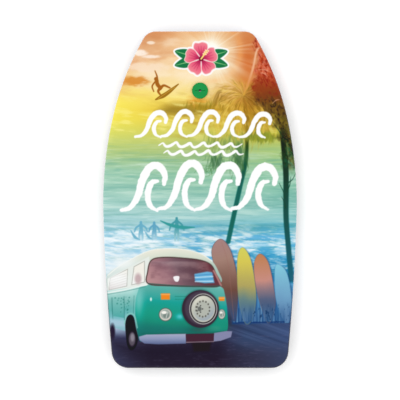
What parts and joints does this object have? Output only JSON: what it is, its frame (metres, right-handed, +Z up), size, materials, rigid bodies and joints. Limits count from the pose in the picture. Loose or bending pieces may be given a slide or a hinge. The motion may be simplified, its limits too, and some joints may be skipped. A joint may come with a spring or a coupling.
{
  "type": "bodyboard",
  "caption": "Short foam bodyboard with a printed deck, dark side rails, slick bottom and a screw-in leash plug near the nose.",
  "frame": {"origin": "on the floor under the middle of the board, which lies on its bottom sheet", "axes": "+Z up out of the deck, +Y towards the nose, +X to the rider's right"},
  "size_m": [0.483, 0.838, 0.0644],
  "materials": {
    "core_foam": "bead foam",
    "skin_foam": "closed-cell foam",
    "printed_film": "satin printed film",
    "slick_sheet": "slick",
    "rail_foam": "closed-cell foam",
    "plug_plastic": "moulded",
    "gasket_rubber": "matt"
  },
  "bodies": {
    "board": {"foam_core": "core_foam", "deck_foam": "skin_foam", "deck_film": "printed_film", "bottom_foam": "skin_foam", "bottom_slick": "slick_sheet", "rail_strip_left": "rail_foam", "rail_strip_right": "rail_foam", "nose_strip": "rail_foam", "tail_strip": "rail_foam", "plug_base": "plug_plastic", "base_gasket": "gasket_rubber"},
    "washer": {"cap_gasket": "gasket_rubber"},
    "cap": {"plug_cap": "plug_plastic"}
  },
  "joints": [
    {"name": "cap_lift", "type": "slide", "parent": "board", "child": "washer", "axis": [0, 0, 1], "range_m": [0, 0.012]},
    {"name": "cap_turn", "type": "hinge", "parent": "washer", "child": "cap", "pos_m": [0, 0.272, 0.0512], "axis": [0, 0, 1], "range_deg": [0, 1440]}
  ],
  "couplings": [
    {"joint": "cap_turn", "follows": "cap_lift", "rad_per_m": 2094.4}
  ]
}
